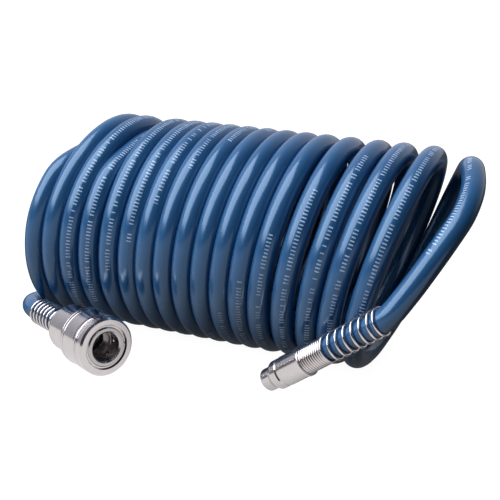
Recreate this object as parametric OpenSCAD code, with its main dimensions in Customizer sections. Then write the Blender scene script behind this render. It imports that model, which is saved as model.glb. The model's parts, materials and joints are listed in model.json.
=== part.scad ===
// Coiled air hose with a quick coupler on one end and a plug on the other.
// The coil lies on its side along X, and the floor is at z = 0.

/* [Hose] */
// Outer diameter of the hose
hose_d = 10; // [9:0.5:12]
// Bore of the hose
hose_bore = 6.5; // [6:0.1:7.5]
// Outer diameter of the coil
coil_d = 101; // [95:1:125]
// Length of the coil along its axis, measured level with the axis
coil_length = 179; // [150:1:215]
// How far the left end of the coil leans, across for each unit of height
lean_left = 0.12; // [0:0.01:0.3]
// How far the right end of the coil leans, across for each unit of height
lean_right = 0.35; // [0.2:0.01:0.4]
// How far the right end turns away at the back, across for each unit of depth
turn_right = 0.13; // [0:0.01:0.2]

/* [Coupler] */
// Outer diameter of the sleeve
sleeve_d = 26.5; // [25:0.1:32]
// Length of the sleeve
sleeve_length = 19; // [18:0.1:23]
// Travel of the sleeve when it is pulled back
sleeve_travel = 3.5; // [2.5:0.1:4]
// Diameter of the body that the sleeve slides on
body_d = 18; // [17.5:0.1:19]
// Diameter of the socket that the plug enters
socket_d = 13.2; // [13.1:0.05:13.6]
// Diameter of a locking ball
ball_d = 3; // [2.8:0.1:3.2]
// Number of locking balls
ball_count = 6; // [6:1:6]
// How far the locking balls stand into the socket
ball_bite = 0.5; // [0.3:0.05:0.6]
// Diameter of the chamber that the valve slides in
chamber_d = 13; // [12.6:0.1:13.6]
// Distance from the mouth to the back of the rear body
coupler_length = 35.5; // [35:0.1:43]
// Diameter of the neck behind the rear body
neck_d = 8.8; // [8:0.1:9.2]
// Length of the neck
neck_length = 7; // [6:0.1:9]

/* [Plug] */
// Diameter of the plug's tip
tip_d = 10; // [9.6:0.05:10.1]
// Diameter of the shoulder behind the tip
shoulder_d = 12.7; // [12.4:0.05:12.8]
// Diameter of the plug's body
plug_d = 13; // [12.8:0.05:13.05]
// Length of the plug from its tip to its collar
plug_length = 22.6; // [20:0.1:28]
// Bore through the plug
plug_bore = 7; // [5:0.1:7.5]
// Outer diameter of the thin collar
plug_collar_d = 13.7; // [13.2:0.1:15]

/* [Kink guards] */
// Wire diameter of both kink guard springs
guard_wire = 1.1; // [0.9:0.05:1.2]
// Length of the close wound part on the plug
guard_close_length = 11.8; // [9:0.1:15]
// Length of the open part on the plug
guard_open_length = 31.5; // [26:0.5:38]
// Length of the spring on the coupler
guard_coupler_length = 19.5; // [16:0.5:24]
// Open turns of each kink guard
guard_turns = 6; // [4:1:7]

/* [Fits] */
// Radial clearance of parts that slide on each other
slide_gap = 0.08; // [0.05:0.01:0.1]
// Radial clearance between the sleeve and the nose
nose_gap = 0.6; // [0.4:0.1:1]
// Clearance of springs and soft parts
soft_gap = 0.3; // [0.2:0.05:0.35]

/* [Hidden] */
$fn = 64;

// Where the coil stands, so that the origin is under the middle of the object
coil_place = [-3.6, 16.6, 0];
coil_r = coil_d / 2;
coil_left = -94;
coil_right = coil_left + coil_length;
hose_r = hose_d / 2;
turn_r = coil_r - hose_r;

// The coupler lies on its sleeve in front of the coil, and its mouth points along u
coupler_turn = 66;
coupler_u = [sin(coupler_turn), -cos(coupler_turn), 0];
coupler_mouth = [-31, -coil_r - 21.5, sleeve_d / 2];
// The plug's tip stands on the floor, and the plug rises towards the hose
plug_turn = -5;
plug_rise = 34.5;
plug_u = [cos(plug_rise) * cos(plug_turn), cos(plug_rise) * sin(plug_turn), sin(plug_rise)];
tip_round = 1;
plug_tip = [37.7, -coil_r - 0.8, tip_d / 2 * cos(plug_rise) + 0.1];

// Socket, from the mouth back
ball_z = -6.5;
ball_r = ball_d / 2;
ball_centre = socket_d / 2 - ball_bite + ball_r;
ball_travel = ball_bite + 0.1;
body_r = body_d / 2;
// The ramp inside the sleeve lets the balls out as the sleeve goes back
ramp = ball_travel / sleeve_travel;
land_r = body_r + slide_gap;
ramp_r = ball_centre + ball_r + slide_gap;
land_z = ball_z - (ramp_r - land_r) / ramp;
collar_front = -0.8;
collar_back = -3.1;
collar_r = body_r + 0.65;
collar_seat_r = body_r - 0.7;
sleeve_stop = collar_back - 0.1;
shoulder_z = land_z - 2;
skirt_r = body_r + 2.1;
spring_back = -17.2;
flange_back = spring_back - 2.2;
rear_r = skirt_r - 0.3;
seal_bore_r = tip_d / 2 + 0.25;
socket_floor = -11.9;
relief_depth = 0.2;
relief_front = ball_z + ball_r + 0.2;
relief_back = ball_z - ball_r - 0.2;
seat_front = -17;
seat_back = -18.2;
seat_hole_r = 4.2;
chamber_r = chamber_d / 2;
spigot_r = chamber_r + 2.1;
spigot_back = -25;
chamber_back = -31.5;
thread_gap = 0.05;
passage_r = 3;
seal_wire = 1.8;
seal_z = -14.4;
seal_groove = 1.35;
body_seal_wire = 1.4;
tail_r = hose_bore / 2;
tail_bore_r = tail_r - 1;
plug_stub_r = tail_r + 1.25;
neck_back = -coupler_length - neck_length;
coupler_hose_z = neck_back - 1;
barb_length = 16;

// Plug, from the tip back
tip_length = 4.7;
groove_end = 5.8;
shoulder_end = 10;
waist_end = 11.8;
waist_r = shoulder_d / 2 - 0.55;
collar_width = 1.1;
plug_hose_z = plug_length + collar_width + 0.1;
guard_close_z = plug_hose_z + 0.2;
guard_open_z = guard_close_z + guard_close_length;
guard_end_z = guard_open_z + guard_open_length;
squeeze_r = hose_r - 0.2;

// Hand laid route of the hose behind the coupler, then up the back of the first turn
lead_coupler_route = [[-94.5, -42.5, 12.5], [-101.5, -34.5, 11], [-105, -24.5, 9], [-106, -14, 7],
    [-105.5, -3, 6], [-105, 8, 6], [-104, 19, 8.5], [-101.5, 30, 16], [-98, 40, 29], [-95, 45, 43]];
// Hand laid route of the last open loop, from the coil's end over the top to the plug
lead_plug_route = [[71, 0, 5.2], [73.5, 16, 8.5], [76.5, 31, 18], [79.5, 41.5, 33],
    [83.5, 45.5, 50], [89, 42, 68], [95.5, 31, 84], [101.5, 15, 93.5], [106, -2, 95.8],
    [110.5, -16, 90], [113.2, -28, 82], [113, -38, 73.5], [110, -46, 63], [105, -51.5, 53.5]];
lead_sides = 12;

function unit(v) = v / norm(v);
function arc(c, r, a, b, n) = [for (i = [0:n])
    let (t = a + (b - a) * i / n) [c[0] + r * cos(t), c[1] + r * sin(t)]];
function tangent(p, i) = unit(p[min(i + 1, len(p) - 1)] - p[max(i - 1, 0)]);
function across(n, t) = unit(n - (n * t) * t);
function any_across(t) = across(abs(t[2]) < 0.9 ? [0, 0, 1] : [1, 0, 0], t);

// Round tube swept along points, with one radius for each point
module swept(p, radii, sides) {
    last = len(p) - 1;
    normals = [for (i = 0, n = any_across(tangent(p, 0)); i <= last;
        i = i + 1, n = i <= last ? across(n, tangent(p, i)) : n) n];
    points = [for (i = [0:last]) let (n = normals[i], b = cross(tangent(p, i), n))
        for (k = [0:sides - 1]) p[i] + radii[i] * (cos(360 * k / sides) * n + sin(360 * k / sides) * b)];
    walls = [for (i = [0:last - 1]) for (k = [0:sides - 1])
        let (a = i * sides + k, b = i * sides + (k + 1) % sides) each
            [[a + sides, b, a], [a + sides, b + sides, b]]];
    first_cap = [for (k = [0:sides - 1]) k];
    last_cap = [for (k = [sides - 1:-1:0]) last * sides + k];
    polyhedron(points, concat(walls, [first_cap, last_cap]));
}

// Wire spring along Z; r and z are functions of the turn number
module wire_spring(turns, r, z, wire, steps = 20, sides = 8) {
    count = round(turns * steps);
    swept([for (i = [0:count]) let (t = i / steps) [r(t) * cos(360 * t), r(t) * sin(360 * t), z(t)]],
        [for (i = [0:count]) wire / 2], sides);
}

module ring(outer, inner, back, front) {
    translate([0, 0, back]) difference() {
        cylinder(r = outer, h = front - back);
        translate([0, 0, -1]) cylinder(r = inner, h = front - back + 2);
    }
}

module seal_ring(mid, wire, z) {
    translate([0, 0, z]) rotate_extrude() translate([mid, 0]) circle(d = wire, $fn = 32);
}

module at_coupler() {
    translate(coil_place + coupler_mouth) rotate([0, 0, coupler_turn]) rotate([90, 0, 0]) children();
}

module at_plug() {
    translate(coil_place + plug_tip) rotate([0, 0, plug_turn]) rotate([0, 90 - plug_rise, 0]) children();
}

function from_coupler(z) = coupler_mouth + z * coupler_u;
function from_plug(z) = plug_tip + z * plug_u;

// Closed outer shape of the coil: a tube whose ends lean as the turns do
module hose_coil() {
    spare = 30;
    far = 4 * coil_d;
    color("steelblue") translate(coil_place + [0, 0, coil_r]) difference() {
        translate([coil_left - spare, 0, 0]) rotate([0, 90, 0])
            rotate_extrude($fn = 96) translate([turn_r - hose_r, 0])
                square([2 * hose_r, coil_length + 2 * spare]);
        translate([coil_left, 0, 0]) rotate([0, atan(lean_left), 0])
            translate([-far, -far / 2, -far / 2]) cube(far);
        translate([coil_right, -turn_r, 0]) rotate([0, 0, atan(turn_right)])
            rotate([0, atan(lean_right), 0]) translate([0, -far / 2, -far / 2]) cube(far);
    }
}

module hose_lead_coupler() {
    last = coil_left + 1.5;
    straight = [for (z = [coupler_hose_z, coupler_hose_z - 8, neck_back - 20]) from_coupler(z)];
    route = concat(straight, lead_coupler_route, [[last, turn_r, coil_r + 2]]);
    color("steelblue") translate(coil_place) difference() {
        swept(route, [for (p = route) hose_r], lead_sides);
        translate(coupler_mouth) rotate([0, 0, coupler_turn]) rotate([90, 0, 0])
            translate([0, 0, coupler_hose_z - barb_length - 1]) cylinder(r = tail_r, h = barb_length + 3);
    }
}

module hose_lead_plug() {
    start = from_plug(plug_hose_z);
    route = concat(lead_plug_route,
        [from_plug(guard_end_z), from_plug(guard_open_z + guard_open_length / 2),
         from_plug(guard_open_z + 1), from_plug(guard_open_z - 0.5), start]);
    count = len(route);
    color("steelblue") translate(coil_place) difference() {
        swept(route, [for (i = [0:count - 1]) i < count - 2 ? hose_r : squeeze_r], lead_sides);
        translate(plug_tip) rotate([0, 0, plug_turn]) rotate([0, 90 - plug_rise, 0])
            translate([0, 0, plug_hose_z - 2]) cylinder(r = tail_r, h = barb_length + 3);
    }
}

// Sleeve that is pulled back to let the plug go
module coupler_sleeve() {
    r = sleeve_d / 2;
    back = -sleeve_length;
    groove = 0.5;
    band = r - 0.2;
    color("silver") at_coupler() rotate_extrude() polygon(concat(
        [[collar_r + nose_gap, 0], [r - 0.9, 0], [r, -0.9], [r, -3.4]],
        [for (i = [0:2]) each let (z = -3.4 - 0.5 * i)
            [[r - 0.15, z - 0.1], [r - 0.15, z - 0.3], [r, z - 0.4]]],
        [[r, -5], [r - groove, -5.3], [r - groove, -5.9], [r, -6.1], [r, -6.5],
         [r - groove, -6.8], [r - groove, -7.3], [band, -7.5], [band, back + 3.2],
         [r - groove, back + 3], [r - groove, back + 2.5], [r, back + 2.3], [r, back + 1.7],
         [r - groove, back + 1.5], [r - groove, back + 1.1], [r - 0.1, back + 0.9], [r - 0.1, back + 0.5],
         [r - 0.6, back], [skirt_r, back], [skirt_r, shoulder_z], [land_r, shoulder_z], [land_r, land_z],
         [ramp_r + ramp * (sleeve_stop - ball_z), sleeve_stop], [collar_r + nose_gap, sleeve_stop]]));
}

// Body with the socket, the ball holes and the valve seat
module coupler_body() {
    color("gainsboro") at_coupler() difference() {
        rotate_extrude() polygon([[socket_d / 2 + 0.7, 0], [body_r - 0.4, 0], [body_r, -0.4],
            [body_r, collar_front], [collar_seat_r, collar_front], [collar_seat_r, collar_back],
            [body_r, collar_back], [body_r, spring_back], [skirt_r - slide_gap, spring_back],
            [skirt_r - slide_gap, flange_back], [spigot_r, flange_back], [spigot_r, spigot_back],
            [chamber_r, spigot_back], [chamber_r, seat_back], [seat_hole_r, seat_back],
            [seat_hole_r, seat_front], [seal_bore_r, seat_front], [seal_bore_r, seal_z - seal_wire / 2],
            [seal_bore_r + seal_groove, seal_z - seal_wire / 2],
            [seal_bore_r + seal_groove, seal_z + seal_wire / 2],
            [seal_bore_r, seal_z + seal_wire / 2], [seal_bore_r, socket_floor],
            [socket_d / 2, socket_floor], [socket_d / 2, relief_back],
            [socket_d / 2 + relief_depth, relief_back], [socket_d / 2 + relief_depth, relief_front],
            [socket_d / 2, relief_front], [socket_d / 2, -0.7]]);
        for (i = [0:ball_count - 1]) rotate([0, 0, 360 * i / ball_count])
            translate([ball_centre - 3, 0, ball_z]) rotate([0, 90, 0])
                cylinder(d = ball_d + 2 * slide_gap, h = 6);
    }
}

// Split collar that stops the sleeve at the front
module stop_collar() {
    color("silver") at_coupler() difference() {
        ring(collar_r, collar_seat_r, collar_back + 0.02, collar_front - 0.02);
        translate([0, -0.4, collar_back - 1]) cube([2 * collar_r, 0.8, 5]);
    }
}

module locking_ball(i) {
    color("silver") at_coupler() rotate([0, 0, 360 * (i - 1) / ball_count])
        translate([ball_centre, 0, ball_z]) sphere(r = ball_r);
}
module locking_ball_1() { locking_ball(1); }
module locking_ball_2() { locking_ball(2); }
module locking_ball_3() { locking_ball(3); }
module locking_ball_4() { locking_ball(4); }
module locking_ball_5() { locking_ball(5); }
module locking_ball_6() { locking_ball(6); }

// Spring that holds the sleeve forward
module sleeve_spring() {
    wire = skirt_r - body_r - 3 * soft_gap;
    mid = (skirt_r + body_r) / 2;
    front = shoulder_z - wire / 2 - 0.05;
    back = spring_back + wire / 2 + 0.05;
    turns = 3;
    color("darkgray") at_coupler() wire_spring(turns, function(t) mid,
        function(t) back + (front - back) * t / turns, wire);
}

// Ring that seals on the plug's tip
module plug_seal() {
    mid = seal_bore_r + seal_groove - seal_wire / 2 - 0.03;
    color("black") at_coupler() seal_ring(mid, seal_wire - 0.1, seal_z);
}

// Valve that shuts the socket when no plug is in it
module valve_poppet() {
    nose_front = seat_front + 2.4;
    guide_r = chamber_r - slide_gap;
    groove_z = seat_back - 1.6;
    color("gainsboro") at_coupler() difference() {
        union() {
            rotate_extrude() polygon([[2, nose_front], [3.2, nose_front], [3.6, nose_front - 0.4],
                [3.6, seat_back - 0.3], [5, seat_back - 0.3], [5.3, seat_back - 0.6], [5.3, groove_z + 0.5],
                [4.6, groove_z + 0.5], [4.6, groove_z - 0.7], [5.3, groove_z - 0.7], [5.3, seat_back - 3.4],
                [2.8, seat_back - 3.4], [2.8, seat_back - 5], [0, seat_back - 5],
                [0, seat_front], [2, seat_front]]);
            for (i = [0:2]) rotate([0, 0, 120 * i]) intersection() {
                translate([2, -1, seat_back - 3.4]) cube([guide_r, 2, 1.1]);
                translate([0, 0, seat_back - 4]) cylinder(r = guide_r, h = 3);
            }
        }
        for (i = [0:1]) rotate([0, 0, 90 * i]) translate([-5, -0.8, seat_front + 0.3])
            cube([10, 1.6, 1.2]);
    }
}

// Soft ring on the valve
module poppet_seal() {
    wire = 1.1;
    color("black") at_coupler() seal_ring(4.65 + wire / 2, wire, seat_back - 1.7);
}

// Spring that shuts the valve
module valve_spring() {
    wire = 0.8;
    turns = 5;
    front = seat_back - 3.4 - wire / 2 - 0.05;
    back = chamber_back + wire / 2 + 0.05;
    color("darkgray") at_coupler() wire_spring(turns, function(t) 3.9,
        function(t) back + (front - back) * t / turns, wire, 16, 6);
}

// Rear body that closes the coupler and takes the hose tail
module rear_body() {
    round_r = 3.4;
    front = flange_back - 0.02;
    back = -coupler_length;
    socket_r = spigot_r + thread_gap;
    tail_socket_r = neck_d / 2 - 0.6;
    color("silver") at_coupler() rotate_extrude() polygon(concat(
        [[socket_r, front], [rear_r, front], [rear_r, front - 1.6], [rear_r - 0.35, front - 1.8],
         [rear_r - 0.35, front - 2.4], [rear_r, front - 2.6]],
        arc([rear_r - round_r, back + round_r], round_r, 0, -90, 8),
        [[tail_socket_r + thread_gap, back], [tail_socket_r + thread_gap, chamber_back - 1.2],
         [passage_r, chamber_back - 1.2], [passage_r, chamber_back], [chamber_r, chamber_back],
         [chamber_r, spigot_back - body_seal_wire - 0.1], [socket_r, spigot_back - body_seal_wire - 0.1]]));
}

// Ring that seals the rear body to the body
module body_seal() {
    wire = body_seal_wire - 0.1;
    color("black") at_coupler()
        seal_ring(spigot_r - 0.05 - wire / 2, wire, spigot_back - body_seal_wire / 2 - 0.05);
}

// Barbs that hold the hose, as an outline from z back over the length
function barbs(z, length) = let (n = 4, p = length / n)
    [for (i = [0:n - 1]) each [[tail_r - 0.45, z - i * p - 0.1], [tail_r - 0.05, z - i * p - 0.6],
        [tail_r - 0.45, z - (i + 1) * p]]];

module coupler_hose_tail() {
    neck_r = neck_d / 2;
    stub_r = neck_r - 0.6;
    front = chamber_back - 1.25;
    back = -coupler_length - 0.02;
    color("silver") at_coupler() rotate_extrude() polygon(concat(
        [[tail_bore_r, front], [stub_r, front], [stub_r, back], [neck_r, back],
         [neck_r, neck_back + 2], [neck_r - 0.4, neck_back + 1.8], [neck_r - 0.4, neck_back + 1.2],
         [neck_r, neck_back + 1], [neck_r, neck_back]],
        barbs(neck_back, barb_length), [[tail_bore_r, neck_back - barb_length]]));
}

// Spring round the hose behind the coupler, narrow on the neck
module coupler_kink_guard() {
    narrow = neck_d / 2 + guard_wire / 2 + 0.05;
    wide = hose_r + soft_gap / 2 + guard_wire / 2 + 0.15;
    turns = guard_turns + 1;
    start = neck_back + 1.6;
    end = neck_back - guard_coupler_length + guard_wire / 2;
    color("silver") at_coupler() wire_spring(turns,
        function(t) narrow + (wide - narrow) * min(1, t / 0.8),
        function(t) t < 1 ? start - 2.8 * t : start - 2.8 - (start - 2.8 - end) * (t - 1) / (turns - 1),
        guard_wire);
}

// Plug that pushes into a coupler
module plug_body() {
    tip_r = tip_d / 2;
    shoulder_r = shoulder_d / 2;
    body = plug_d / 2;
    bore = plug_bore / 2;
    back = plug_length + 0.05;
    socket_r = plug_stub_r + thread_gap;
    color("gainsboro") at_plug() rotate_extrude() polygon(concat(
        [[bore, back - 9], [bore, 0.4], [bore + 0.4, 0]],
        arc([tip_r - tip_round, tip_round], tip_round, -90, 0, 5),
        [[tip_r, tip_length], [tip_r - 0.6, tip_length + 0.3], [tip_r - 0.6, groove_end - 0.3]],
        arc([shoulder_r - 1.4, groove_end + 1.4], 1.4, -70, 0, 4),
        [[shoulder_r, shoulder_end], [waist_r, shoulder_end + 0.5], [waist_r, waist_end - 0.5],
         [body, waist_end], [body, back - 0.3], [body - 0.3, back], [socket_r, back], [socket_r, back - 9]]));
}

// Thin collar between the plug and its spring
module plug_collar() {
    inner = plug_stub_r + thread_gap;
    color("silver") at_plug() ring(plug_collar_d / 2, inner, plug_length + 0.08, plug_length + collar_width);
}

module plug_hose_tail() {
    front = plug_length - 8.9;
    stop = plug_length + collar_width;
    p = [for (q = barbs(-stop, barb_length)) [q[0], -q[1]]];
    color("silver") at_plug() rotate_extrude() polygon(concat(
        [[tail_bore_r, front], [plug_stub_r, front], [plug_stub_r, stop]],
        p, [[tail_bore_r, stop + barb_length]]));
}

// Spring round the hose behind the plug, close wound where it grips
module plug_kink_guard() {
    close_turns = floor(guard_close_length / (guard_wire + 0.04));
    step = guard_close_length / close_turns;
    narrow = squeeze_r + soft_gap / 3 + guard_wire / 2;
    wide = hose_r + soft_gap / 2 + guard_wire / 2 + 0.15;
    start = guard_close_z + guard_wire / 2;
    open_start = start + step * close_turns;
    end = guard_end_z - guard_wire / 2;
    open_step = (end - open_start - 2.4) / (guard_turns + 0.5);
    color("silver") at_plug() wire_spring(close_turns + guard_turns + 1.5,
        function(t) narrow + (wide - narrow) * max(0, min(1, t - close_turns + 0.6)),
        function(t) t < close_turns ? start + step * t
            : t < close_turns + guard_turns + 0.5 ? open_start + open_step * (t - close_turns)
            : end - 2.4 + 2.4 * (t - close_turns - guard_turns - 0.5),
        guard_wire);
}

hose_coil();
hose_lead_coupler();
hose_lead_plug();
coupler_sleeve();
coupler_body();
stop_collar();
locking_ball_1();
locking_ball_2();
locking_ball_3();
locking_ball_4();
locking_ball_5();
locking_ball_6();
sleeve_spring();
plug_seal();
valve_poppet();
poppet_seal();
valve_spring();
rear_body();
body_seal();
coupler_hose_tail();
coupler_kink_guard();
plug_body();
plug_collar();
plug_hose_tail();
plug_kink_guard();
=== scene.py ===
import json
import math

import bpy
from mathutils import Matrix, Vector


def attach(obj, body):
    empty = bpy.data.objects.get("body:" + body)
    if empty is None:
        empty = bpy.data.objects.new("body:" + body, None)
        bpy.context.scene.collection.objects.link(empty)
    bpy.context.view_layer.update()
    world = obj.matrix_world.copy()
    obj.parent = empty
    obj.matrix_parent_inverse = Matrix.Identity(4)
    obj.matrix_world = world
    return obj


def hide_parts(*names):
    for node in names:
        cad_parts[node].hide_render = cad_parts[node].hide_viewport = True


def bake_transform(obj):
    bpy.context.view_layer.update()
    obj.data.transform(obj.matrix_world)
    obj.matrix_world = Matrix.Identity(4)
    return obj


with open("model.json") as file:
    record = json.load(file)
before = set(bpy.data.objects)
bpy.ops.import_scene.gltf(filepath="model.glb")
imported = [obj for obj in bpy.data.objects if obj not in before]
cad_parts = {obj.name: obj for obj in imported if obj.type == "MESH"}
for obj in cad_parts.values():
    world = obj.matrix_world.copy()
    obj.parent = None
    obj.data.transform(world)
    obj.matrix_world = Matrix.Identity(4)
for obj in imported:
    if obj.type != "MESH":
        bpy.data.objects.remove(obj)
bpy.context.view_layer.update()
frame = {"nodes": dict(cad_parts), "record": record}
record = frame["record"]
mm = 0.001
xAxis = Vector((1, 0, 0))
zAxis = Vector((0, 0, 1))

# The coil's own place: under its middle on the floor, as in the part
coilPlace = Vector((-3.6, 16.6, 0)) * mm
coilMiddle = coilPlace + Vector((0, 0, 50.5)) * mm


def mountLine(name, back):
    mount = next(m for m in record["mounts"] if m["name"] == name)
    axis = Vector(mount["axis"]).normalized()
    return Vector(mount["pos_m"]) + axis * back * mm, axis


couplerMouth, couplerAxis = mountLine("socket", 10.05)
plugTip, plugFront = mountLine("plug_tip", 2.8)


def fromCoupler(z):
    return couplerMouth + couplerAxis * z * mm


def fromPlug(z):
    return plugTip - plugFront * z * mm


# ---- camera
cameraSettings = {
    "azimuth": 29.5,
    "elevation": 15.5,
    "distance": 0.6,
    "lens": 93.2,
    "shiftY": -0.028,
}


def makeCamera(s):
    a = math.radians(s["azimuth"])
    e = math.radians(s["elevation"])
    back = Vector((math.sin(a) * math.cos(e), -math.cos(a) * math.cos(e), math.sin(e)))
    data = bpy.data.cameras.new("camera")
    data.lens = s["lens"]
    data.sensor_width = 36
    data.shift_y = s["shiftY"]
    data.clip_start = 0.05
    data.clip_end = 20
    camera = bpy.data.objects.new("camera", data)
    bpy.context.scene.collection.objects.link(camera)
    camera.location = coilMiddle + back * s["distance"]
    camera.rotation_mode = "QUATERNION"
    camera.rotation_quaternion = (-back).to_track_quat("-Z", "Y")
    bpy.context.scene.camera = camera


makeCamera(cameraSettings)
print("camera set")

# ---- the hose's line, in the coil's own millimetres
hoseSettings = {
    "diameter": 10,
    "sides": 28,
    "turnRadius": 45.5,
    "firstFront": -89.1,        # where turn 1 crosses the front, level with the axis
    "touching": 0.96,           # pitch of turns that touch, in hose diameters
    # added to single gaps, where a turn stands off or presses into the next
    "apart": {1: 0.28, 2: 0.3, 3: 1.1, 4: 1.6, 5: 0.9, 6: -0.4, 7: -0.15, 8: 0.15, 11: -0.1, 12: 0.1,
              13: 2.1, 14: 2.7, 15: 0.8, 16: 3.1},
    "topShift": {1: 6.5, 2: 3, 3: 3.5, 4: 1.5},      # how far the first turns lean over at the top
    "topDip": {1: 8, 4: 5.5},                        # turns that sink between their neighbours there
    "firstTurn": 0.5,
    "lastTurn": 17.25,
    "stepsPerTurn": 90,
    "leadStep": 2.5,
    "loopUntwist": 45,          # degrees the printed marks turn back along the open loop
    "guideSteps": 8,            # how far into the coil a lead takes its direction from
    "squareStep": 0.05,         # share of a coil step that squares a lead's end
}
# the coupler's lead repeats the part's route, and the open loop has its own
leadCouplerRoute = [(-94.5, -42.5, 12.5), (-101.5, -34.5, 11), (-105, -24.5, 9), (-106, -14, 7),
                    (-105.5, -3, 6), (-105, 8, 6), (-104, 19, 8.5), (-101.5, 30, 16), (-98, 40, 29),
                    (-95, 45, 43)]
leadPlugRoute = [(60, 0, 5.2), (59.6, 16, 7.5), (62, 31, 17), (67, 41.5, 32.5), (73.5, 45.5, 50),
                 (82, 42.5, 68), (91.5, 32, 83), (99.5, 16, 90.5), (107, -1, 93), (112.3, -15.5, 88.5),
                 (113.5, -28, 81.5), (111, -38, 73.5), (106.3, -46, 63.5), (100.5, -52, 53)]


def upLean(x):
    return 0.19 + 0.00117 * x + 0.0000118 * x * x


def backLean(x):
    return -0.07 - 0.0007 * x


def frontCrossings(s):
    x = s["firstFront"]
    found = {1: x}
    for turn in range(1, 18):
        x += s["diameter"] * s["touching"] * math.hypot(1, upLean(x)) + s["apart"].get(turn, 0)
        found[turn + 1] = x
    found[0] = 2 * found[1] - found[2]
    found[19] = 2 * found[18] - found[17]
    return found


crossings = frontCrossings(hoseSettings)


def catmull(a, b, c, d, t):
    squared = (2 * a - 5 * b + 4 * c - d) * t ** 2
    cubed = (3 * b - a - 3 * c + d) * t ** 3
    return 0.5 * (2 * b + (c - a) * t + squared + cubed)


def onCoil(t):
    s = hoseSettings
    k = int(math.floor(t))
    early = crossings.get(k - 1, 2 * crossings[k] - crossings[k + 1])
    x = catmull(early, crossings[k], crossings[k + 1], crossings[k + 2], t - k)
    angle = 2 * math.pi * t
    r = s["turnRadius"]
    raised = max(0, -math.sin(angle))
    turn = math.ceil(t)
    # the dip starts well up the side and is full at the top
    nearTop = max(0, min(1, 2.3 * raised - 1.3))
    dip = s["topDip"].get(turn, 0) * math.sin(math.pi / 2 * nearTop) ** 2
    y = -(r - dip) * math.cos(angle)
    z = -(r - dip) * math.sin(angle)
    x += upLean(x) * z + backLean(x) * (y + r) + s["topShift"].get(turn, 0) * raised ** 2
    return coilPlace + Vector((x, y, z + r + s["diameter"] / 2)) * mm


def smoothLine(points, step):
    line = []
    for i in range(1, len(points) - 2):
        a, b, c, d = points[i - 1:i + 3]
        knots = [0]
        for p, q in ((a, b), (b, c), (c, d)):
            knots.append(knots[-1] + math.sqrt((q - p).length))
        k0, k1, k2, k3 = knots
        count = max(2, round((c - b).length / (step * mm)))
        for j in range(count):
            t = k1 + (k2 - k1) * j / count
            a1 = a.lerp(b, (t - k0) / (k1 - k0))
            a2 = b.lerp(c, (t - k1) / (k2 - k1))
            a3 = c.lerp(d, (t - k2) / (k3 - k2))
            b1 = a1.lerp(a2, (t - k0) / (k2 - k0))
            b2 = a2.lerp(a3, (t - k1) / (k3 - k1))
            line.append(b1.lerp(b2, (t - k1) / (k2 - k1)))
    line.append(points[-2].copy())
    return line


def hoseLines(s):
    first, last, steps = s["firstTurn"], s["lastTurn"], s["stepsPerTurn"]
    count = round((last - first) * steps)
    coil = [onCoil(first + i / steps) for i in range(count + 1)]
    route = [coilPlace + Vector(p) * mm for p in leadCouplerRoute]
    start = [fromCoupler(z) for z in (-40, -43.5, -51.5, -62.5)]
    # a last tiny step along the coil squares each lead's end to it
    guide = s["guideSteps"]
    toCoupler = smoothLine(start + route + [coil[0], coil[guide]], s["leadStep"])
    toCoupler.append(coil[0].lerp(coil[1], s["squareStep"]))
    route = [coilPlace + Vector(p) * mm for p in leadPlugRoute]
    route[0] = coil[-1].copy()
    end = [fromPlug(z) for z in (67.3, 51.55, 36.8, 23.8, 20)]
    toPlug = [coil[-1].lerp(coil[-2], s["squareStep"])]
    toPlug += smoothLine([coil[-1 - guide]] + route + end, s["leadStep"])
    return toCoupler, coil, toPlug


def lineLength(points):
    return sum((q - p).length for p, q in zip(points, points[1:]))


couplerLine, coilLine, plugLine = hoseLines(hoseSettings)
print("hose lines", *(round(lineLength(line), 3) for line in (couplerLine, coilLine, plugLine)))


# ---- meshes
def tangents(points):
    found = []
    for i in range(len(points)):
        found.append((points[min(i + 1, len(points) - 1)] - points[max(i - 1, 0)]).normalized())
    return found


def link(name, mesh):
    piece = bpy.data.objects.new(name, mesh)
    bpy.context.scene.collection.objects.link(piece)
    return piece


def tube(name, points, radius, sides, capped=True):
    along = tangents(points)
    normal = along[0].orthogonal().normalized()
    vertices, faces = [], []
    for p, t in zip(points, along):
        normal = (normal - t * normal.dot(t)).normalized()
        side = t.cross(normal)
        for k in range(sides):
            angle = 2 * math.pi * k / sides
            vertices.append(p + (normal * math.cos(angle) + side * math.sin(angle)) * radius)
    for i in range(len(points) - 1):
        for k in range(sides):
            a = i * sides + k
            b = i * sides + (k + 1) % sides
            faces.append((a, b, b + sides, a + sides))
    if capped:
        last = (len(points) - 1) * sides
        faces.append(tuple(range(sides - 1, -1, -1)))
        faces.append(tuple(range(last, last + sides)))
    mesh = bpy.data.meshes.new(name)
    mesh.from_pydata(vertices, [], faces)
    mesh.polygons.foreach_set("use_smooth", [len(f) == 4 for f in faces])
    mesh.update()
    return link(name, mesh)


def pointData(mesh, name, kind, values):
    layer = mesh.attributes.new(name, kind, "POINT")
    key = "value" if kind == "FLOAT" else "vector"
    flat = values if kind == "FLOAT" else [c for v in values for c in v]
    layer.data.foreach_set(key, flat)


markTilt = 24


# Each point of the hose knows its length along it and which way the printed marks face
def markData(mesh, points, startLength, repeats, untwist=0):
    lengths, outs, sides = [], [], []
    gone = startLength
    along = tangents(points)
    for i, (p, t) in enumerate(zip(points, along)):
        gone += (p - points[i - 1]).length if i else 0
        radial = p - coilMiddle
        radial.x = 0
        tilt = math.radians(markTilt - untwist * min(1, 2 * i / len(points)))
        out = radial.normalized() * math.cos(tilt) + xAxis * math.sin(tilt)
        out = (out - t * out.dot(t)).normalized()
        lengths += [gone] * repeats
        outs += [out] * repeats
        sides += [t.cross(out)] * repeats
    pointData(mesh, "hoseLength", "FLOAT", lengths)
    pointData(mesh, "markOut", "FLOAT_VECTOR", outs)
    pointData(mesh, "markSide", "FLOAT_VECTOR", sides)
    return gone


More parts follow.
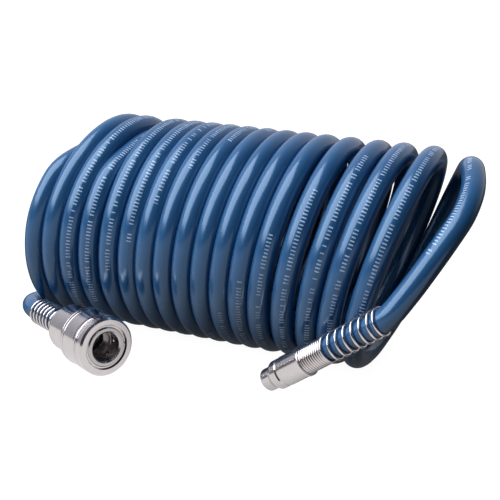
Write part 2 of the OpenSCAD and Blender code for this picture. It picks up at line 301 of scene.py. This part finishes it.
# The coil is its line with a round skin on it, so the hose stays round however far it is pulled
def roundSkin(radius, sides, material):
    tree = bpy.data.node_groups.new("roundSkin", "GeometryNodeTree")
    tree.interface.new_socket("Geometry", in_out="INPUT", socket_type="NodeSocketGeometry")
    tree.interface.new_socket("Geometry", in_out="OUTPUT", socket_type="NodeSocketGeometry")
    add = tree.nodes.new
    source = add("NodeGroupInput")
    result = add("NodeGroupOutput")
    toCurve = add("GeometryNodeMeshToCurve")
    circle = add("GeometryNodeCurvePrimitiveCircle")
    toMesh = add("GeometryNodeCurveToMesh")
    smooth = add("GeometryNodeSetShadeSmooth")
    coat = add("GeometryNodeSetMaterial")
    circle.inputs["Resolution"].default_value = sides
    circle.inputs["Radius"].default_value = radius
    coat.inputs["Material"].default_value = material
    join = tree.links.new
    join(source.outputs[0], toCurve.inputs["Mesh"])
    join(toCurve.outputs["Curve"], toMesh.inputs["Curve"])
    join(circle.outputs["Curve"], toMesh.inputs["Profile Curve"])
    join(toMesh.outputs["Mesh"], smooth.inputs["Geometry"])
    join(smooth.outputs[0], coat.inputs["Geometry"])
    join(coat.outputs[0], result.inputs[0])
    return tree


# ---- shader node groups and materials
def newGroup(name, inputs, outputs):
    tree = bpy.data.node_groups.new(name, "ShaderNodeTree")
    for socket, kind, value in inputs:
        made = tree.interface.new_socket(socket, in_out="INPUT", socket_type=kind)
        if value is not None:
            made.default_value = value
    for socket, kind in outputs:
        tree.interface.new_socket(socket, in_out="OUTPUT", socket_type=kind)
    return tree, tree.nodes.new("NodeGroupInput"), tree.nodes.new("NodeGroupOutput")


def mathNode(tree, operation, a, b=None, c=None, clamp=False):
    node = tree.nodes.new("ShaderNodeMath")
    node.operation = operation
    node.use_clamp = clamp
    for i, value in enumerate((a, b, c)):
        if value is None:
            continue
        if isinstance(value, (int, float)):
            node.inputs[i].default_value = value
        else:
            tree.links.new(value, node.inputs[i])
    return node.outputs[0]


def dot(tree, a, b):
    node = tree.nodes.new("ShaderNodeVectorMath")
    node.operation = "DOT_PRODUCT"
    tree.links.new(a, node.inputs[0])
    tree.links.new(b, node.inputs[1])
    return node.outputs["Value"]


def noise(tree, vector, scale, detail=3.0, rough=0.5):
    node = tree.nodes.new("ShaderNodeTexNoise")
    node.inputs["Detail"].default_value = detail
    node.inputs["Roughness"].default_value = rough
    tree.links.new(vector, node.inputs["Vector"])
    if isinstance(scale, (int, float)):
        node.inputs["Scale"].default_value = scale
    else:
        tree.links.new(scale, node.inputs["Scale"])
    return node.outputs["Fac"]


def grainGroup():
    tree, source, result = newGroup(
        "fineGrain",
        [("Coarse Scale", "NodeSocketFloat", 60.0), ("Fine Scale", "NodeSocketFloat", 900.0),
         ("Low", "NodeSocketFloat", 0.2), ("High", "NodeSocketFloat", 0.4)],
        [("Roughness", "NodeSocketFloat"), ("Height", "NodeSocketFloat"), ("Cloud", "NodeSocketFloat")])
    place = tree.nodes.new("ShaderNodeTexCoord").outputs["Object"]
    cloud = noise(tree, place, source.outputs["Coarse Scale"])
    fine = noise(tree, place, source.outputs["Fine Scale"], 4.0, 0.6)
    both = mathNode(tree, "MULTIPLY_ADD", fine, 0.45, mathNode(tree, "MULTIPLY", cloud, 0.55))
    span = mathNode(tree, "SUBTRACT", source.outputs["High"], source.outputs["Low"])
    rough = mathNode(tree, "MULTIPLY_ADD", both, span, source.outputs["Low"])
    tree.links.new(rough, result.inputs["Roughness"])
    tree.links.new(fine, result.inputs["Height"])
    tree.links.new(cloud, result.inputs["Cloud"])
    return tree


def wearGroup():
    tree, source, result = newGroup(
        "edgeWear",
        [("Edge", "NodeSocketFloat", 0.52), ("Width", "NodeSocketFloat", 0.06)],
        [("Mask", "NodeSocketFloat")])
    point = tree.nodes.new("ShaderNodeNewGeometry").outputs["Pointiness"]
    place = tree.nodes.new("ShaderNodeTexCoord").outputs["Object"]
    above = mathNode(tree, "SUBTRACT", point, source.outputs["Edge"])
    raised = mathNode(tree, "DIVIDE", above, source.outputs["Width"], clamp=True)
    broken = mathNode(tree, "MULTIPLY", raised, noise(tree, place, 700.0), clamp=True)
    tree.links.new(broken, result.inputs["Mask"])
    return tree


def latheGroup():
    tree, source, result = newGroup(
        "latheLines",
        [("Axis", "NodeSocketVector", None), ("Lines", "NodeSocketFloat", 3000.0)],
        [("Height", "NodeSocketFloat")])
    place = tree.nodes.new("ShaderNodeTexCoord").outputs["Object"]
    depth = mathNode(tree, "MULTIPLY", dot(tree, place, source.outputs["Axis"]), source.outputs["Lines"])
    node = tree.nodes.new("ShaderNodeTexNoise")
    node.noise_dimensions = "1D"
    node.inputs["Scale"].default_value = 1.0
    node.inputs["Detail"].default_value = 2.0
    tree.links.new(depth, node.inputs["W"])
    tree.links.new(node.outputs["Fac"], result.inputs["Height"])
    return tree


fineGrain, edgeWear, latheLines = grainGroup(), wearGroup(), latheGroup()


def useGroup(tree, group, **values):
    node = tree.nodes.new("ShaderNodeGroup")
    node.node_tree = group
    for name, value in values.items():
        node.inputs[name.replace("_", " ")].default_value = value
    return node


def colourMix(tree, share, a, b):
    node = tree.nodes.new("ShaderNodeMix")
    node.data_type = "RGBA"
    for socket, value in ((node.inputs[0], share), (node.inputs[6], a), (node.inputs[7], b)):
        if isinstance(value, (int, float)):
            socket.default_value = value
        elif isinstance(value, tuple):
            socket.default_value = (*value, 1)
        else:
            tree.links.new(value, socket)
    return node.outputs[2]


def bump(tree, height, distance, strength=1.0, under=None):
    node = tree.nodes.new("ShaderNodeBump")
    node.inputs["Distance"].default_value = distance
    node.inputs["Strength"].default_value = strength
    tree.links.new(height, node.inputs["Height"])
    if under is not None:
        tree.links.new(under, node.inputs["Normal"])
    return node.outputs["Normal"]


def newMaterial(name):
    material = bpy.data.materials.new(name)
    material.use_nodes = True
    return material, material.node_tree, material.node_tree.nodes["Principled BSDF"]


hoseFinish = {
    "blue": (0.0215, 0.095, 0.228),
    "deepBlue": (0.0165, 0.075, 0.188),
    "markWhite": (0.52, 0.64, 0.82),
    "roughness": (0.17, 0.28),
    "markRepeat": 0.2711,
    "markShare": 0.586,
    "markStart": 3.037,
    "markFrom": 0.5,
    "markTo": 0.205,            # along the open loop
    "tickPitch": 0.00145,
    "tickShare": 0.34,
    "tickHalfWidth": 0.21,
    "tickKept": 0.86,           # share of ticks that are there
    "coat": 0.12,
    "specular": 0.95,
    "specularTint": (0.55, 0.76, 1, 1),
}


def hoseMaterial(f):
    material, tree, shader = newMaterial("hoseBlue")
    data = {}
    for name in ("hoseLength", "markOut", "markSide"):
        node = tree.nodes.new("ShaderNodeAttribute")
        node.attribute_name = name
        data[name] = node
    gone = data["hoseLength"].outputs["Fac"]
    normal = tree.nodes.new("ShaderNodeNewGeometry").outputs["Normal"]
    # short plain ticks in rows, one row to each repeat
    fromStart = mathNode(tree, "SUBTRACT", gone, f["markStart"])
    rowPlace = mathNode(tree, "FRACT", mathNode(tree, "DIVIDE", fromStart, f["markRepeat"]))
    inRow = mathNode(tree, "LESS_THAN", rowPlace, f["markShare"])
    cell = mathNode(tree, "DIVIDE", gone, f["tickPitch"])
    number = mathNode(tree, "FLOOR", cell)
    chance = tree.nodes.new("ShaderNodeTexWhiteNoise")
    chance.noise_dimensions = "1D"
    tree.links.new(number, chance.inputs["W"])
    kept = mathNode(tree, "LESS_THAN", chance.outputs["Value"], f["tickKept"])
    inTick = mathNode(tree, "LESS_THAN", mathNode(tree, "FRACT", cell), f["tickShare"])
    across = mathNode(tree, "ABSOLUTE", dot(tree, normal, data["markSide"].outputs["Vector"]))
    height = mathNode(tree, "MULTIPLY_ADD", chance.outputs["Value"], 0.07, f["tickHalfWidth"] - 0.05)
    inBand = mathNode(tree, "LESS_THAN", across, height)
    outside = mathNode(tree, "GREATER_THAN", dot(tree, normal, data["markOut"].outputs["Vector"]), 0)
    mask = mathNode(tree, "MULTIPLY", inRow, mathNode(tree, "GREATER_THAN", gone, f["markFrom"]))
    markEnd = lineLength(coilLine) + f["markTo"]
    mask = mathNode(tree, "MULTIPLY", mask, mathNode(tree, "LESS_THAN", gone, markEnd))
    for part in (kept, inTick, inBand, outside):
        mask = mathNode(tree, "MULTIPLY", mask, part)
    place = tree.nodes.new("ShaderNodeTexCoord").outputs["Object"]
    rubbed = mathNode(tree, "MULTIPLY_ADD", noise(tree, place, 420.0), 1.1, 0.15, clamp=True)
    mask = mathNode(tree, "MULTIPLY", mask, rubbed)
    low, high = f["roughness"]
    grain = useGroup(tree, fineGrain, Coarse_Scale=45.0, Fine_Scale=1500.0, Low=low, High=high)
    wear = useGroup(tree, edgeWear, Edge=0.53, Width=0.2)
    body = colourMix(tree, grain.outputs["Cloud"], f["deepBlue"], f["blue"])
    tree.links.new(colourMix(tree, mask, body, f["markWhite"]), shader.inputs["Base Color"])
    rough = mathNode(tree, "MULTIPLY_ADD", mask, 0.2, grain.outputs["Roughness"])
    worn = mathNode(tree, "MULTIPLY_ADD", wear.outputs["Mask"], 0.05, rough)
    tree.links.new(worn, shader.inputs["Roughness"])
    # faint lines left by the extruder's die, along the hose
    angle = mathNode(tree, "ARCTAN2", dot(tree, normal, data["markSide"].outputs["Vector"]),
                     dot(tree, normal, data["markOut"].outputs["Vector"]))
    spot = tree.nodes.new("ShaderNodeCombineXYZ")
    tree.links.new(mathNode(tree, "MULTIPLY", angle, 9.0), spot.inputs["X"])
    tree.links.new(mathNode(tree, "MULTIPLY", gone, 25.0), spot.inputs["Y"])
    dieLines = noise(tree, spot.outputs["Vector"], 2.0, 2.0)
    first = bump(tree, dieLines, 0.00004, 0.5)
    tree.links.new(bump(tree, grain.outputs["Height"], 0.00001, 0.35, first), shader.inputs["Normal"])
    shader.inputs["Coat Weight"].default_value = f["coat"]
    shader.inputs["Coat Roughness"].default_value = 0.12
    shader.inputs["Specular IOR Level"].default_value = f["specular"]
    shader.inputs["Specular Tint"].default_value = f["specularTint"]
    return material


def metalMaterial(name, axis, m):
    material, tree, shader = newMaterial(name)
    low, high = m["roughness"]
    depth = m["depth"]
    grain = useGroup(tree, fineGrain, Coarse_Scale=180.0, Fine_Scale=2600.0, Low=low, High=high)
    wear = useGroup(tree, edgeWear, Edge=0.55, Width=0.15)
    body = colourMix(tree, grain.outputs["Cloud"], m["shade"], m["colour"])
    tree.links.new(colourMix(tree, wear.outputs["Mask"], body, m["wornTo"]), shader.inputs["Base Color"])
    tree.links.new(grain.outputs["Roughness"], shader.inputs["Roughness"])
    lathe = useGroup(tree, latheLines, Axis=tuple(axis), Lines=m["lines"])
    first = bump(tree, lathe.outputs["Height"], depth, 0.6)
    tree.links.new(bump(tree, grain.outputs["Height"], depth * 0.3, 0.3, first), shader.inputs["Normal"])
    shader.inputs["Metallic"].default_value = 1.0
    return material


def rubberMaterial():
    material, tree, shader = newMaterial("sealRubber")
    grain = useGroup(tree, fineGrain, Coarse_Scale=300.0, Fine_Scale=4000.0, Low=0.45, High=0.7)
    body = colourMix(tree, grain.outputs["Cloud"], (0.010, 0.010, 0.011), (0.026, 0.025, 0.026))
    tree.links.new(body, shader.inputs["Base Color"])
    tree.links.new(grain.outputs["Roughness"], shader.inputs["Roughness"])
    tree.links.new(bump(tree, grain.outputs["Height"], 0.00002, 0.4), shader.inputs["Normal"])
    return material


nickel = {
    "colour": (0.80, 0.745, 0.755),
    "shade": (0.70, 0.655, 0.665),
    "wornTo": (0.86, 0.82, 0.80),
    "lines": 5200.0,
    "depth": 0.00001,
}
turnedSteel = {
    "colour": (0.62, 0.58, 0.585),
    "shade": (0.50, 0.47, 0.475),
    "wornTo": (0.7, 0.66, 0.65),
    "roughness": (0.16, 0.30),
    "lines": 6500.0,
    "depth": 0.00001,
}
wireMetal = {
    "colour": (0.80, 0.745, 0.755),
    "shade": (0.66, 0.61, 0.62),
    "wornTo": (0.86, 0.82, 0.8),
    "roughness": (0.10, 0.20),
    "lines": 2000.0,
    "depth": 0.000004,
}
ballMetal = {
    "colour": (0.75, 0.73, 0.72),
    "shade": (0.66, 0.64, 0.63),
    "wornTo": (0.8, 0.78, 0.76),
    "roughness": (0.05, 0.12),
    "lines": 2000.0,
    "depth": 0.000002,
}
hoseBlue = hoseMaterial(hoseFinish)
nickelCoupler = metalMaterial("nickelCoupler", couplerAxis, {**nickel, "roughness": (0.10, 0.22)})
nickelPlug = metalMaterial("nickelPlug", plugFront, {**nickel, "roughness": (0.12, 0.24)})
steelCoupler = metalMaterial("turnedSteelCoupler", couplerAxis, turnedSteel)
steelPlug = metalMaterial("turnedSteelPlug", plugFront, turnedSteel)
springWire = metalMaterial("springWire", xAxis, wireMetal)
ballSteel = metalMaterial("ballSteel", zAxis, ballMetal)
sealRubber = rubberMaterial()
print("materials made")


# ---- the hose in place
def paint(piece, material):
    piece.data.materials.clear()
    piece.data.materials.append(material)


def makeHose(s):
    radius = s["diameter"] / 2 * mm
    sides = s["sides"]
    first = tube("hoseToCoupler", couplerLine, radius, sides)
    gone = markData(first.data, couplerLine, -lineLength(couplerLine), sides)
    paint(first, hoseBlue)
    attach(first, "coupler_end")
    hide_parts("hose_lead_coupler")

    mesh = bpy.data.meshes.new("hoseCoil")
    mesh.from_pydata(coilLine, [(i, i + 1) for i in range(len(coilLine) - 1)], [])
    coil = link("hoseCoil", mesh)
    gone = markData(mesh, coilLine, gone, 1)
    paint(coil, hoseBlue)
    skin = coil.modifiers.new("roundSkin", "NODES")
    skin.node_group = roundSkin(radius, sides, hoseBlue)
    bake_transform(coil)
    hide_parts("hose_coil")

    last = tube("hoseToPlug", plugLine, radius, sides)
    markData(last.data, plugLine, gone, sides, s["loopUntwist"])
    paint(last, hoseBlue)
    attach(last, "plug_end")
    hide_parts("hose_lead_plug")
    return first, coil, last


hoseToCoupler, hoseCoil, hoseToPlug = makeHose(hoseSettings)
print("hose made")


# ---- springs
def springAxes(axis):
    side = zAxis.cross(axis).normalized()
    return side, axis.cross(side)


def springLine(origin, axis, turns, steps, radius, depth):
    side, up = springAxes(axis)
    line = []
    for i in range(round(turns * steps) + 1):
        t = i / steps
        angle = 2 * math.pi * t
        around = (side * math.cos(angle) + up * math.sin(angle)) * radius(t) * mm
        line.append(origin + axis * depth(t) * mm + around)
    return line


guardSettings = {"wire": 1.1, "sides": 12, "steps": 44, "wideClearance": 0.3}
couplerGuardSettings = {**guardSettings, "neckBack": -42.5, "reach": 19.5, "turns": 7,
                        "neckRadius": 4.4, "clearance": 0.05, "firstIn": 1.6, "firstStep": 2.8,
                        "widensOver": 0.8}
plugGuardSettings = {**guardSettings, "closeStart": 23.75, "closeLength": 12.05, "openLength": 31.5,
                     "stubRadius": 4.8, "clearance": 0.1, "closeGap": 0.04, "openTurns": 6.5,
                     "endStep": 2.4}


def placeGuard(name, cadName, body, line, s):
    piece = tube(name, line, s["wire"] / 2 * mm, s["sides"])
    paint(piece, springWire)
    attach(piece, body)
    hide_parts(cadName)
    return piece


def makeCouplerGuard(s):
    half = s["wire"] / 2
    narrow = s["neckRadius"] + half + s["clearance"]
    wide = hoseSettings["diameter"] / 2 + half + s["wideClearance"]
    turns = s["turns"]
    start = s["neckBack"] + s["firstIn"]
    second = start - s["firstStep"]
    end = s["neckBack"] - s["reach"] + half

    def depth(t):
        if t < 1:
            return start - s["firstStep"] * t
        return second - (second - end) * (t - 1) / (turns - 1)

    def radius(t):
        return narrow + (wide - narrow) * min(1, t / s["widensOver"])

    line = springLine(couplerMouth, couplerAxis, turns, s["steps"], radius, depth)
    return placeGuard("couplerKinkGuard", "coupler_kink_guard", "coupler_end", line, s)


def makePlugGuard(s):
    half = s["wire"] / 2
    closeTurns = math.floor(s["closeLength"] / (s["wire"] + s["closeGap"]))
    step = s["closeLength"] / closeTurns
    narrow = s["stubRadius"] + s["clearance"] + half
    wide = hoseSettings["diameter"] / 2 + half + s["wideClearance"]
    start = s["closeStart"] + half
    openStart = start + step * closeTurns
    end = s["closeStart"] + s["closeLength"] + s["openLength"] - half
    openTurns = s["openTurns"]
    openStep = (end - openStart - s["endStep"]) / openTurns

    # the first turn lies flat against the collar, and the second runs out of it
    def depth(t):
        t = max(0, t - 1)
        if t < closeTurns:
            return -(start + step * t)
        if t < closeTurns + openTurns:
            return -(openStart + openStep * (t - closeTurns))
        return -(end - s["endStep"] + s["endStep"] * (t - closeTurns - openTurns))

    def radius(t):
        return narrow + (wide - narrow) * max(0, min(1, t - closeTurns - 0.4))

    turns = closeTurns + openTurns + 2
    line = springLine(plugTip, plugFront, turns, s["steps"], radius, depth)
    return placeGuard("plugKinkGuard", "plug_kink_guard", "plug_end", line, s)


# The two inner springs are lines with a round skin, so their wire stays round when they shorten
def makeInnerSpring(name, cadName, s):
    def depth(t):
        return s["back"] + (s["front"] - s["back"]) * t / s["turns"]

    def radius(t):
        return s["radius"]

    points = springLine(couplerMouth, couplerAxis, s["turns"], s["steps"], radius, depth)
    mesh = bpy.data.meshes.new(name)
    mesh.from_pydata(points, [(i, i + 1) for i in range(len(points) - 1)], [])
    piece = link(name, mesh)
    paint(piece, springWire)
    skin = piece.modifiers.new("roundSkin", "NODES")
    skin.node_group = roundSkin(s["wire"] / 2 * mm, 12, springWire)
    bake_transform(piece)
    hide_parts(cadName)


couplerGuard = makeCouplerGuard(couplerGuardSettings)
plugGuard = makePlugGuard(plugGuardSettings)
sleeveSpring = {
    "wire": 1.2,
    "radius": 10.05,
    "back": -16.55,
    "front": -9.73,
    "turns": 2.75,
    "steps": 48,
}
valveSpring = {
    "wire": 0.8,
    "radius": 3.9,
    "back": -31.05,
    "front": -22.05,
    "turns": 5,
    "steps": 40,
}
makeInnerSpring("sleeveSpring", "sleeve_spring", sleeveSpring)
makeInnerSpring("valveSpring", "valve_spring", valveSpring)
print("springs made")

# ---- CAD pieces that keep their shape
finishes = {
    "coupler_sleeve": nickelCoupler, "rear_body": nickelCoupler, "stop_collar": nickelCoupler,
    "coupler_body": steelCoupler, "valve_poppet": steelCoupler, "coupler_hose_tail": nickelCoupler,
    "plug_body": nickelPlug, "plug_collar": nickelPlug, "plug_hose_tail": steelPlug,
    "plug_seal": sealRubber, "poppet_seal": sealRubber, "body_seal": sealRubber,
}
for number in range(1, 7):
    finishes["locking_ball_" + str(number)] = ballSteel
for name, material in finishes.items():
    paint(frame["nodes"][name], material)


# ---- floor and light
studio = {
    "floorRadius": 4.0,
    "floorSides": 96,
    "floorSeen": 0.97,
    # the floor's glow to the pieces is painted light: a painted glow in front of the coil and a painted
    # shadow under it
    "paintedGlowInFront": 0.82,
    "paintedShadowUnder": 0.10,
    "darkFrom": -0.010,         # metres along y
    "brightFrom": -0.055,
    "floorBounce": 0.06,
    "keyAzimuth": -40,
    "keyElevation": 52,
    "keyDistance": 1.1,
    "keySize": (1.25, 1.7),
    "keyPower": 30,
    "keyColour": (0.93, 0.96, 1),
    "worldFront": (0.03, 0.03, 0.038),
    "worldBack": (0.60, 0.62, 0.68),
}


def makeFloor(s):
    mesh = bpy.data.meshes.new("floor")
    sides = s["floorSides"]
    rim = []
    for i in range(sides):
        angle = 2 * math.pi * i / sides
        rim.append((s["floorRadius"] * math.cos(angle), s["floorRadius"] * math.sin(angle), 0))
    mesh.from_pydata(rim, [], [tuple(range(sides))])
    floor = link("floor", mesh)
    material = bpy.data.materials.new("floorPale")
    material.use_nodes = True
    tree = material.node_tree
    tree.nodes.clear()
    add = tree.nodes.new
    join = tree.links.new
    out = add("ShaderNodeOutputMaterial")
    path = add("ShaderNodeLightPath")
    glow = add("ShaderNodeEmission")
    plain = add("ShaderNodeBsdfDiffuse")
    seen = add("ShaderNodeEmission")
    both = add("ShaderNodeAddShader")
    pick = add("ShaderNodeMixShader")
    # to the camera it is white with a faint shadow; the pieces see a dimmer floor
    plain.inputs["Color"].default_value = (0.2, 0.2, 0.2, 1)
    seen.inputs["Strength"].default_value = s["floorSeen"]
    join(plain.outputs[0], both.inputs[0])
    join(seen.outputs[0], both.inputs[1])
    # painted light and shade: seen in reflections the floor glows bright in front of the coil, a painted
    # glow, and is painted dark under it, a painted shadow
    where = add("ShaderNodeNewGeometry")
    split = add("ShaderNodeSeparateXYZ")
    front = add("ShaderNodeMapRange")
    join(where.outputs["Position"], split.inputs[0])
    join(split.outputs["Y"], front.inputs["Value"])
    front.interpolation_type = "SMOOTHSTEP"
    front.inputs["From Min"].default_value = s["darkFrom"]
    front.inputs["From Max"].default_value = s["brightFrom"]
    front.inputs["To Min"].default_value = s["paintedShadowUnder"] - s["floorBounce"]
    front.inputs["To Max"].default_value = s["paintedGlowInFront"] - s["floorBounce"]
    glossy = path.outputs["Is Glossy Ray"]
    # painted light: a faint even glow for all rays, plus the painted glow and painted shadow in
    # reflections
    strength = mathNode(tree, "MULTIPLY_ADD", glossy, front.outputs["Result"], s["floorBounce"])
    join(strength, glow.inputs["Strength"])
    join(path.outputs["Is Camera Ray"], pick.inputs[0])
    join(glow.outputs[0], pick.inputs[1])
    join(both.outputs[0], pick.inputs[2])
    join(pick.outputs[0], out.inputs["Surface"])
    paint(floor, material)


def makeKey(s):
    a = math.radians(s["keyAzimuth"])
    e = math.radians(s["keyElevation"])
    away = Vector((math.sin(a) * math.cos(e), -math.cos(a) * math.cos(e), math.sin(e)))
    data = bpy.data.lights.new("keyBox", "AREA")
    data.shape = "RECTANGLE"
    data.size, data.size_y = s["keySize"]
    data.energy = s["keyPower"]
    data.color = s["keyColour"]
    light = bpy.data.objects.new("keyBox", data)
    bpy.context.scene.collection.objects.link(light)
    light.location = coilPlace + Vector((0, 0, 0.05)) + away * s["keyDistance"]
    light.rotation_mode = "QUATERNION"
    light.rotation_quaternion = away.to_track_quat("Z", "Y")


def makeWorld(s):
    world = bpy.data.worlds.new("studio")
    bpy.context.scene.world = world
    world.use_nodes = True
    tree = world.node_tree
    tree.nodes.clear()
    out = tree.nodes.new("ShaderNodeOutputWorld")
    shown = tree.nodes.new("ShaderNodeBackground")
    lit = tree.nodes.new("ShaderNodeBackground")
    pick = tree.nodes.new("ShaderNodeMixShader")
    shown.inputs["Color"].default_value = (1, 1, 1, 1)
    coords = tree.nodes.new("ShaderNodeTexCoord")
    toBack = tree.nodes.new("ShaderNodeVectorMath")
    toBack.operation = "DOT_PRODUCT"
    toBack.inputs[1].default_value = (-0.48, 0.87, -0.1)
    tree.links.new(coords.outputs["Generated"], toBack.inputs[0])
    ramp = tree.nodes.new("ShaderNodeMapRange")
    ramp.interpolation_type = "SMOOTHSTEP"
    ramp.inputs["From Min"].default_value = -0.1
    ramp.inputs["From Max"].default_value = 0.7
    tree.links.new(toBack.outputs["Value"], ramp.inputs["Value"])
    around = colourMix(tree, ramp.outputs["Result"], s["worldFront"], s["worldBack"])
    tree.links.new(around, lit.inputs["Color"])
    path = tree.nodes.new("ShaderNodeLightPath")
    tree.links.new(path.outputs["Is Camera Ray"], pick.inputs[0])
    tree.links.new(lit.outputs[0], pick.inputs[1])
    tree.links.new(shown.outputs[0], pick.inputs[2])
    tree.links.new(pick.outputs[0], out.inputs["Surface"])


makeFloor(studio)
makeKey(studio)
makeWorld(studio)
bpy.context.scene.view_settings.view_transform = "Standard"
print("floor and light set")
